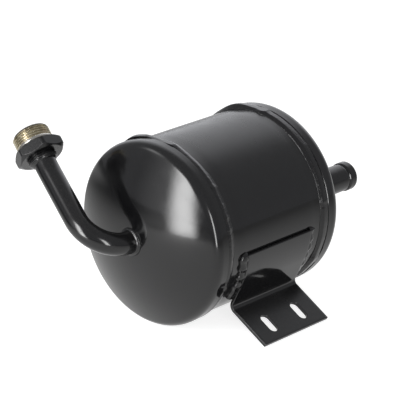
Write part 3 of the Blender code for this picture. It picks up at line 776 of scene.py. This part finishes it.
def bracket_bead(bracket, tank, name, side, seed):
    """A hand-laid bead beside the saddle, with uneven blobs and tapered ends."""
    edge = BRACKET_FRONT if side < 0 else BRACKET_REAR
    start = bracket.top + radians(1.5)
    sweep = start - bracket.weld_end
    rows = []
    for share in steps(0, 1, 150):
        turn = start - sweep * share
        arc = sweep * share * SHELL_R
        taper = sqrt(clamp(min(share, 1 - share) / 0.05))
        slow = lump(arc / (7 * MM), seed)
        fine = lump(arc / (2.2 * MM), seed + 5)
        blob = smooth(1 - abs(((arc / (8.5 * MM) + seed * 0.37) % 1.0) - 0.5) * 2)
        width = bracket.weld_width * (1.3 + 0.35 * slow + 0.3 * blob) * taper
        height = (bracket.gap + bracket.sheet) * (0.78 + 0.16 * slow + 0.2 * blob + 0.05 * fine) * taper
        ring = [(SHELL_R - ROOT, -0.6 * MM), (SHELL_R + height * 0.8, -0.6 * MM)]
        for corner in steps(0, pi / 2, 7):
            out = width * sin(corner) ** 1.15
            up = height * cos(corner) ** 0.75 + 0.25 * MM * taper * sin(2 * corner)
            scale = 0.5 + 0.5 * sin(tau * (arc / tank.ripple - out / bracket.weld_width))
            ring.append((SHELL_R + up + 0.045 * MM * scale * taper, out))
        ring.append((SHELL_R - ROOT, width))
        rows.append([polar(r, turn, edge + side * out) for r, out in ring])
    return piece_from(name, skin(rows, capped=True), 50)


def add_node(tree, kind, inputs=(), **settings):
    """Add a shader node with its settings.

    Its inputs are given by name, or as a tuple in the order of its sockets. Each is a value, an output, or a
    node that stands for its own first output.
    """
    node = tree.nodes.new("ShaderNode" + kind)
    for name, value in settings.items():
        setattr(node, name, value)
    if isinstance(inputs, dict):
        pairs = [(node.inputs[name], value) for name, value in inputs.items()]
    else:
        pairs = zip([socket for socket in node.inputs if socket.enabled], inputs)
    for socket, value in pairs:
        if isinstance(value, bpy.types.Node):
            value = next(output for output in value.outputs if output.enabled)
        if isinstance(value, bpy.types.NodeSocket):
            tree.links.new(value, socket)
        else:
            socket.default_value = (*value, 1.0) if socket.type == "RGBA" else value
    return node


def per_metre(millimetres):
    """Texture scale at which one feature takes this many millimetres."""
    return 1.0 / (millimetres * MM)


def gloss_black_enamel(add, place, finish):
    """Stoving enamel, sprayed and baked: deep gloss, orange peel 3 mm across, a few nibs and thin dust."""
    peel = add("TexNoise", {"Vector": place, "Scale": per_metre(3.2), "Detail": 1.0})
    wave = add("TexNoise", {"Vector": place, "Scale": per_metre(24), "Detail": 0.0})
    nib = add("TexVoronoi", {"Vector": place, "Scale": per_metre(11)})
    nib_high = add("MapRange", (nib, 0.0, 0.05, 1.0, 0.0), interpolation_type="SMOOTHSTEP")
    smear = add("TexNoise", {"Vector": place, "Scale": per_metre(18), "Detail": 5.0, "Roughness": 0.6})
    dull = add("MapRange", (smear, 0.35, 0.75, 0.07, 0.17))
    speck = add("TexNoise", {"Vector": place, "Scale": per_metre(1.1), "Detail": 2.0})
    facing = add("SeparateXYZ", (add("NewGeometry").outputs["Normal"],))
    lying = add("MapRange", (facing.outputs["Z"], 0.2, 1.0, 0.0, 0.5))
    dusted = add("Math", (lying, 0.3, dull), operation="MULTIPLY_ADD")
    scatter = add("MapRange", (speck, 0.45, 0.75, 0.0, 0.3))
    dusty = add("Math", (lying, scatter), operation="MULTIPLY")
    tone = add("Mix", (dusty, finish.enamel, finish.dust), data_type="RGBA")
    slow_bump = add("Bump", {"Height": wave, "Distance": 0.05 * MM})
    peel_bump = add("Bump", {"Height": peel, "Distance": 0.012 * MM, "Normal": slow_bump})
    nib_bump = add("Bump", {"Height": nib_high, "Distance": 0.05 * MM, "Normal": peel_bump})
    return add("BsdfPrincipled", {
        "Base Color": tone, "Roughness": dusted, "IOR": 1.5, "Normal": nib_bump})


def enamel_over_weld(add, place, finish):
    """The same enamel over an arc weld: thinner gloss, pores and spatter 0.5 to 2 mm across, brown scale."""
    rough = add("TexNoise", {"Vector": place, "Scale": per_metre(1.6), "Detail": 4.0, "Roughness": 0.6})
    pores = add("TexVoronoi", {"Vector": place, "Scale": per_metre(2.4)})
    bead = add("MapRange", (pores, 0.0, 0.3, 1.0, 0.0), interpolation_type="SMOOTHSTEP")
    stain = add("MapRange", (rough, 0.58, 0.72, 0.0, 0.7))
    tone = add("Mix", (stain, finish.enamel, finish.spatter), data_type="RGBA")
    dull = add("MapRange", (rough, 0.3, 0.7, 0.1, 0.24))
    first = add("Bump", {"Height": rough, "Distance": 0.06 * MM})
    second = add("Bump", {"Height": bead, "Distance": 0.06 * MM, "Normal": first})
    return add("BsdfPrincipled", {"Base Color": tone, "Roughness": dull, "IOR": 1.5, "Normal": second})


def yellow_zinc_with_overspray(add, place, finish):
    """Turned steel, yellow zinc plated: pale straw metal with darker valleys, and black overspray behind."""
    cloud = add("TexNoise", {"Vector": place, "Scale": per_metre(5), "Detail": 3.0})
    film = add("TexNoise", {"Vector": place, "Scale": per_metre(11), "Detail": 1.0})
    grime = add("TexNoise", {"Vector": place, "Scale": per_metre(1.1), "Detail": 4.0})
    shade = add("MapRange", (cloud, 0.35, 0.7, 0.0, 0.75))
    metal = add("Mix", (shade, finish.zinc, finish.zinc_dark), data_type="RGBA")
    tint = add("MapRange", (film, 0.5, 0.8, 0.0, 0.7))
    tinted = add("Mix", (tint, metal, finish.zinc_tint), data_type="RGBA")
    scene = finish.id_data  # It holds the union's sizes too
    turned = union_matrix(scene.drier_tank, scene.drier_inlet)
    away = add("VectorMath", (place, turned.translation), operation="SUBTRACT")
    along = add("VectorMath", (away, turned.col[1].to_3d()), operation="DOT_PRODUCT")
    ragged = add("Math", (grime, 2.6 * MM, along), operation="MULTIPLY_ADD")
    painted = add("MapRange", (ragged, HEX_FRONT + 0.6 * MM, HEX_FRONT + 1.7 * MM, 1.0, 0.0))
    # The colour is darkened towards the spatter colour over the thread's last millimetre and its end
    # chamfer, with a ragged border
    rim = add("MapRange", (ragged, UNION_END - 1.2 * MM, UNION_END + 0.4 * MM, 0.0, 0.85))
    varied = add("Mix", (rim, tinted, finish.spatter), data_type="RGBA")
    relief = add("MapRange", (along, THREAD_START + 0.4 * MM, THREAD_START - 0.2 * MM, 0.0, 0.8))
    bright = add("Mix", (relief, varied, finish.steel), data_type="RGBA")
    tone = add("Mix", (painted, bright, finish.enamel), data_type="RGBA")
    metallic = add("Math", (1.0, painted), operation="SUBTRACT")
    dull = add("MapRange", (painted, 0.0, 1.0, 0.26, 0.22))
    lathe = add("TexWave", {
        "Vector": place, "Scale": 0.5 * per_metre(1.2), "Distortion": 1.0, "Detail": 2.0},
        bands_direction="Y")
    marks = add("Bump", {"Height": lathe.outputs["Fac"], "Distance": 0.01 * MM})
    skin_bump = add("Bump", {"Height": grime, "Distance": 0.04 * MM, "Normal": marks})
    return add("BsdfPrincipled", {
        "Base Color": tone, "Metallic": metallic, "Roughness": dull, "Normal": skin_bump})


def drawn_mild_steel(add, place, finish):
    """Bare mild steel, drawn and cut: satin grey, fine scratches about 0.5 mm apart, a darker oil film."""
    stretched = add("Mapping", {"Vector": place, "Scale": (1.0, 0.12, 1.0)})
    lines = add("TexNoise", {"Vector": stretched, "Scale": per_metre(0.5), "Detail": 3.0})
    cloud = add("TexNoise", {"Vector": place, "Scale": per_metre(9), "Detail": 3.0})
    film = add("MapRange", (cloud, 0.4, 0.75, 0.0, 0.5))
    tone = add("Mix", (film, finish.steel, finish.zinc_dark), data_type="RGBA")
    dull = add("MapRange", (lines, 0.0, 1.0, 0.28, 0.46))
    scratch = add("Bump", {"Height": lines, "Distance": 0.02 * MM})
    return add("BsdfPrincipled", {
        "Base Color": tone, "Metallic": 1.0, "Roughness": dull, "Normal": scratch})


def pressed_felt(add, place, finish):
    """Pressed polyester felt: matt cream with tangled fibres about 1 mm long, drawn coarser to show."""
    fibre = add("TexNoise", {
        "Vector": place, "Scale": per_metre(1.0), "Detail": 6.0, "Roughness": 0.7, "Distortion": 1.5})
    tone = add("Mix", (fibre, finish.felt, finish.beads), data_type="RGBA")
    bump = add("Bump", {"Height": fibre, "Distance": 0.4 * MM})
    return add("BsdfPrincipled", {
        "Base Color": tone, "Roughness": 0.95, "IOR": 1.5, "Sheen Weight": 0.3, "Normal": bump})


def packed_desiccant(add, place, finish):
    """Molecular sieve beads 2.5 mm across, packed: matt round grains with dark joints between them."""
    grains = add("TexVoronoi", {"Vector": place, "Scale": per_metre(2.5)})
    joint = add("MapRange", (grains, 0.35, 0.75, 0.0, 0.8))
    tone = add("Mix", (joint, finish.beads, finish.spatter), data_type="RGBA")
    dome = add("Bump", {"Height": grains, "Distance": 0.8 * MM}, invert=True)
    return add("BsdfPrincipled", {"Base Color": tone, "Roughness": 0.85, "IOR": 1.5, "Normal": dome})


def matt_white_floor(add, place, finish):
    """Matt white laminate: a pale floor that reads as white and still takes the object's shadow. To gloss it
    shows painted light, a glowing pool round the tank and a glowing band towards the sweep, and painted
    shade on its left.
    """
    mottle = add("TexNoise", {"Vector": place, "Scale": per_metre(60), "Detail": 2.0})
    dull = add("MapRange", (mottle, 0.0, 1.0, 0.75, 0.85))
    path = add("LightPath")
    across = add("SeparateXYZ", (place,))
    # Painted shade seen by gloss only: the floor's left side, from 0.15 to 0.75 m left of the middle, is
    # darkened towards black
    left = add("MapRange", (across.outputs["X"], -0.15, -0.75, 0.0, 0.9), interpolation_type="SMOOTHSTEP")
    painted_left_shade = add("Math", (left, path.outputs["Is Glossy Ray"]), operation="MULTIPLY")
    shaded = add("Mix", (painted_left_shade, finish.floor, (0.02, 0.02, 0.02)), data_type="RGBA")
    shader = add("BsdfPrincipled", {
        "Base Color": shaded, "Roughness": dull, "IOR": 1.5, "Specular IOR Level": 0.2})
    # Painted light seen by gloss only: the floor glows in a pool that falls off away from the tank's middle,
    # and in a band towards the sweep that fades far off
    reach = add("VectorMath", (place,), operation="LENGTH")
    fall = add("Math", (reach, -2.6), operation="MULTIPLY")
    away = add("Math", (fall,), operation="EXPONENT")
    near = add("Math", (away, 0.85), operation="MULTIPLY")
    behind = add("VectorMath", (place, PAINTED_BAND_DIRECTION), operation="DOT_PRODUCT")
    sweep = add("MapRange", (behind, 0.1, 0.6, 0.0, 0.8), interpolation_type="SMOOTHSTEP")
    fading = add("MapRange", (reach, 0.8, 2.0, 1.0, 0.0), interpolation_type="SMOOTHSTEP")
    painted_band = add("Math", (sweep, fading), operation="MULTIPLY")
    painted_floor_glow = add("Math", (near, painted_band), operation="MAXIMUM")
    gloss = add("Math", (painted_floor_glow, path.outputs["Is Glossy Ray"]), operation="MULTIPLY")
    direct = add(
        "Math", (path.outputs["Is Camera Ray"], path.outputs["Is Transmission Ray"]), operation="MAXIMUM")
    lift = add("Math", (direct, 0.8, gloss), operation="MULTIPLY_ADD")
    glow = add("Emission", {"Color": (1, 1, 1), "Strength": lift})
    return add("AddShader", (shader, glow))


MATERIALS = {
    "black_enamel": gloss_black_enamel,
    "painted_weld": enamel_over_weld,
    "yellow_zinc": yellow_zinc_with_overspray,
    "steel": drawn_mild_steel,
    "felt": pressed_felt,
    "beads": packed_desiccant,
    "floor": matt_white_floor,
}
made = {}


def material_for(key):
    """The material for a slot or a finish, named after the function that adds its nodes, and made once."""
    if key not in made:
        shade = MATERIALS[key]
        material = bpy.data.materials.new(shade.__name__)
        material.use_nodes = True
        tree = material.node_tree
        tree.nodes.clear()
        add = partial(add_node, tree)
        place = add("TexCoord").outputs["Object"]
        add("OutputMaterial", {"Surface": shade(add, place, bpy.context.scene.drier_finish)})
        made[key] = material
    return made[key]


class DRIER_OT_tank(bpy.types.Operator):
    """Make the shell and the two dished heads"""
    bl_idname = "drier.tank"
    bl_label = "Tank shell and heads"

    def execute(self, context):
        tank = context.scene.drier_tank
        inlet = context.scene.drier_inlet
        stub = context.scene.drier_stub
        settle(shell_tube(tank), "black_enamel", "shell")
        front = dished_head(tank, "head_front", -1, (0, 0, inlet.tube + 0.2 * MM))
        settle(front, "black_enamel", "front_head")
        rear = dished_head(tank, "head_rear", 1, (stub.across, stub.above, stub.radius + 0.2 * MM))
        settle(rear, "black_enamel", "rear_head")
        return {"FINISHED"}


class DRIER_OT_girth_welds(bpy.types.Operator):
    """Make the beads between each skirt and the shell"""
    bl_idname = "drier.girth_welds"
    bl_label = "Girth welds"

    def execute(self, context):
        tank = context.scene.drier_tank
        settle(girth_bead(tank, "girth_bead_front", -1), "painted_weld", "front_girth_weld")
        settle(girth_bead(tank, "girth_bead_rear", 1), "painted_weld", "rear_girth_weld")
        return {"FINISHED"}


class DRIER_OT_inlet(bpy.types.Operator):
    """Make the bent inlet tube and the weld at its root"""
    bl_idname = "drier.inlet"
    bl_label = "Inlet tube"

    def execute(self, context):
        tank = context.scene.drier_tank
        inlet = context.scene.drier_inlet
        settle(inlet_tube(tank, inlet), "black_enamel", "inlet_tube")
        bead = fillet_ring(tank, "inlet_bead", -1, (0, 0), inlet.tube, inlet.weld, 13)
        settle(bead, "painted_weld", "inlet_tube_weld")
        return {"FINISHED"}


class DRIER_OT_union(bpy.types.Operator):
    """Make the threaded union and its braze ring"""
    bl_idname = "drier.union"
    bl_label = "Inlet union"

    def execute(self, context):
        tank = context.scene.drier_tank
        inlet = context.scene.drier_inlet
        settle(union_fitting(tank, inlet), "yellow_zinc", "inlet_fitting")
        settle(braze_ring(tank, inlet), "painted_weld", "inlet_braze")
        return {"FINISHED"}


class DRIER_OT_stub(bpy.types.Operator):
    """Make the outlet stub and its weld"""
    bl_idname = "drier.stub"
    bl_label = "Outlet stub"

    def execute(self, context):
        tank = context.scene.drier_tank
        stub = context.scene.drier_stub
        settle(outlet_stub(tank, stub), "black_enamel", "outlet_stub")
        bead = fillet_ring(tank, "outlet_bead", 1, (stub.across, stub.above), stub.radius, stub.weld, 17)
        settle(bead, "painted_weld", "outlet_stub_weld")
        return {"FINISHED"}


class DRIER_OT_bracket(bpy.types.Operator):
    """Make the slotted bracket and its two beads"""
    bl_idname = "drier.bracket"
    bl_label = "Mounting bracket"

    def execute(self, context):
        tank = context.scene.drier_tank
        bracket = context.scene.drier_bracket
        sheet = bracket_sheet(bracket)
        cut(sheet, slot_cutter(bracket))
        sheet.data.set_sharp_from_angle(angle=radians(35))
        settle(sheet, "black_enamel", "mounting_bracket")
        for name, side, seed in (("front", -1, 2.3), ("rear", 1, 6.1)):
            bead = bracket_bead(bracket, tank, "bracket_bead_" + name, side, seed)
            settle(bead, "painted_weld", "bracket_weld_" + name)
        return {"FINISHED"}


INSIDE = {
    "steel": ("pack_spring", "front_screen", "rear_screen", "retaining_ring", "pickup_tube",
              "pickup_strainer"),
    "felt": ("front_pad", "rear_pad"),
    "beads": ("desiccant_bed",),
}


class DRIER_OT_inside(bpy.types.Operator):
    """Finish the pieces inside the tank"""
    bl_idname = "drier.inside"
    bl_label = "Pieces inside the tank"

    def execute(self, context):
        for key, names in INSIDE.items():
            for name in names:
                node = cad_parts[name]
                if not node.material_slots:
                    node.data.materials.append(None)
                for slot in node.material_slots:
                    slot.link = "OBJECT"
                    slot.material = material_for(key)
        return {"FINISHED"}


# Soft boxes: middle from the tank's, direction, size, tilt in degrees, and where the cloth's glow starts and
# stops across it and up it, each as shares (dark, full, full, dark)
SOFT_BOXES = {
    "left": ((-0.032, -0.6, 0.131), (0, 1, 0), (0.33, 0.6), 8,
             ((0.13, 0.56, 0.68, 0.93), (0.0, 0.24, 0.9, 0.97))),
    "right": ((0.62, -0.39, 0.16), (-0.866, 0.5, 0), (0.16, 0.56), 0,
              ((0.0, 0.3, 0.7, 1.0), (0.0, 0.08, 0.75, 0.95))),
    "fill": ((-0.28, -0.62, 0.2), (0, 1, 0), (0.5, 0.9), 0,
             ((0.0, 0.9, 0.95, 1.0), (0.0, 0.35, 0.7, 1.0))),
    "top": ((-0.52, -0.6, 0.6), (0.42, 0.5, -0.6), (0.5, 0.44), 0,
            ((0.0, 0.5, 0.5, 1.0), (0.0, 0.5, 0.5, 1.0))),
}


def soft_box(name, brightness, middle, facing, size, tilt, fades):
    """An area light that fades at its left, right, low and high borders, as cloth over a bulb does."""
    data = bpy.data.lights.new(name, "AREA")
    data.shape = "RECTANGLE"
    data.size, data.size_y = size
    data.energy = brightness * pi * size[0] * size[1]
    data.use_nodes = True
    data.node_tree.nodes.clear()
    add = partial(add_node, data.node_tree)
    place = add("SeparateXYZ", (add("NewGeometry").outputs["Parametric"],))
    glow = 1.0
    for axis, (low, low_full, high_full, high) in zip("XY", fades):
        for dark, full in ((low, low_full), (high, high_full)):
            side = add("MapRange", (place.outputs[axis], dark, full), interpolation_type="SMOOTHSTEP")
            glow = add("Math", (side, glow), operation="MULTIPLY")
    light = add("Emission", {"Strength": glow})
    add("OutputLight", (light,))
    turn = Vector(facing).to_track_quat("-Z", "Y") @ Quaternion((0, 0, 1), radians(tilt))
    lamp = placed(name, data, Matrix.Translation(TANK + Vector(middle)) @ turn.to_matrix().to_4x4())
    lamp.visible_camera = False


def studio_world(scene):
    """White to the camera; to its gloss a pale sweep behind the object and a dimmer room elsewhere."""
    world = bpy.data.worlds.new("studio")
    world.use_nodes = True
    world.cycles.sampling_method = "NONE"
    scene.world = world
    world.node_tree.nodes.clear()
    add = partial(add_node, world.node_tree)
    path = add("LightPath")
    toward = add("TexCoord").outputs["Generated"]
    behind = add("VectorMath", (toward, SWEEP), operation="DOT_PRODUCT")
    sweep = add("MapRange", (behind, 0.68, 0.96, 0.46, 1.45), interpolation_type="SMOOTHSTEP")
    room = add("Background", {"Color": (0.95, 0.96, 1), "Strength": sweep})
    ambient = add("Background", {"Color": (1, 1, 1), "Strength": scene.drier_stage.ambient})
    white = add("Background", {"Color": (1, 1, 1), "Strength": 1.0})
    seen = add(
        "Math", (path.outputs["Is Camera Ray"], path.outputs["Is Transmission Ray"]), operation="MAXIMUM")
    lit = add("MixShader", (path.outputs["Is Glossy Ray"], ambient, room))
    shown = add("MixShader", (seen, lit, white))
    add("OutputWorld", {"Surface": shown})


def photo_camera(stage):
    """The camera at the photograph's angle."""
    back = Vector((sin(stage.azimuth) * cos(stage.elevation),
                   -cos(stage.azimuth) * cos(stage.elevation), sin(stage.elevation)))
    level = Vector((cos(stage.azimuth), sin(stage.azimuth), 0))
    rising = back.cross(level)
    right = level * cos(stage.roll) + rising * sin(stage.roll)
    top = rising * cos(stage.roll) - level * sin(stage.roll)
    data = bpy.data.cameras.new("photo_camera")
    data.sensor_width = 36
    data.lens = stage.lens
    turn = Matrix((right, top, back)).transposed().to_4x4()
    place = TANK + back * stage.distance + right * stage.across + top * stage.above
    return placed("photo_camera", data, Matrix.Translation(place) @ turn)


class DRIER_OT_stage(bpy.types.Operator):
    """Make the floor, the lights and the camera"""
    bl_idname = "drier.stage"
    bl_label = "Floor, light and camera"

    def execute(self, context):
        scene = context.scene
        stage = scene.drier_stage
        shape = bmesh.new()
        bmesh.ops.create_circle(shape, cap_ends=True, radius=FLOOR_R, segments=96)
        floor = piece_from("studio_floor", shape, 40, Matrix.Translation((0, 0, FLOOR_Z - 0.1 * MM)))
        floor.data.materials.append(material_for("floor"))
        for name, look in SOFT_BOXES.items():
            soft_box(name + "_soft_box", getattr(stage, name), *look)
        studio_world(scene)
        scene.camera = photo_camera(stage)
        scene.view_settings.view_transform = "Standard"
        return {"FINISHED"}


class DRIER_PT_build(bpy.types.Panel):
    """Lists the operators that make the drier"""
    bl_idname = "DRIER_PT_build"
    bl_label = "Receiver drier"
    bl_space_type = "VIEW_3D"
    bl_region_type = "UI"
    bl_category = "Drier"

    def draw(self, context):
        for operator in OPERATORS:
            self.layout.operator(operator.bl_idname)


OPERATORS = (DRIER_OT_tank, DRIER_OT_girth_welds, DRIER_OT_inlet, DRIER_OT_union, DRIER_OT_stub,
             DRIER_OT_bracket, DRIER_OT_inside, DRIER_OT_stage)
CLASSES = (*GROUPS.values(), *OPERATORS, DRIER_PT_build)


def register():
    for part in CLASSES:
        bpy.utils.register_class(part)
    for name, group in GROUPS.items():
        setattr(bpy.types.Scene, name, PointerProperty(type=group))


def unregister():
    for name in GROUPS:
        delattr(bpy.types.Scene, name)
    for part in reversed(CLASSES):
        bpy.utils.unregister_class(part)


def main():
    register()
    bpy.ops.drier.tank()
    bpy.ops.drier.girth_welds()
    bpy.ops.drier.inlet()
    bpy.ops.drier.union()
    bpy.ops.drier.stub()
    bpy.ops.drier.bracket()
    bpy.ops.drier.inside()
    bpy.ops.drier.stage()


if __name__ == "__main__":
    main()
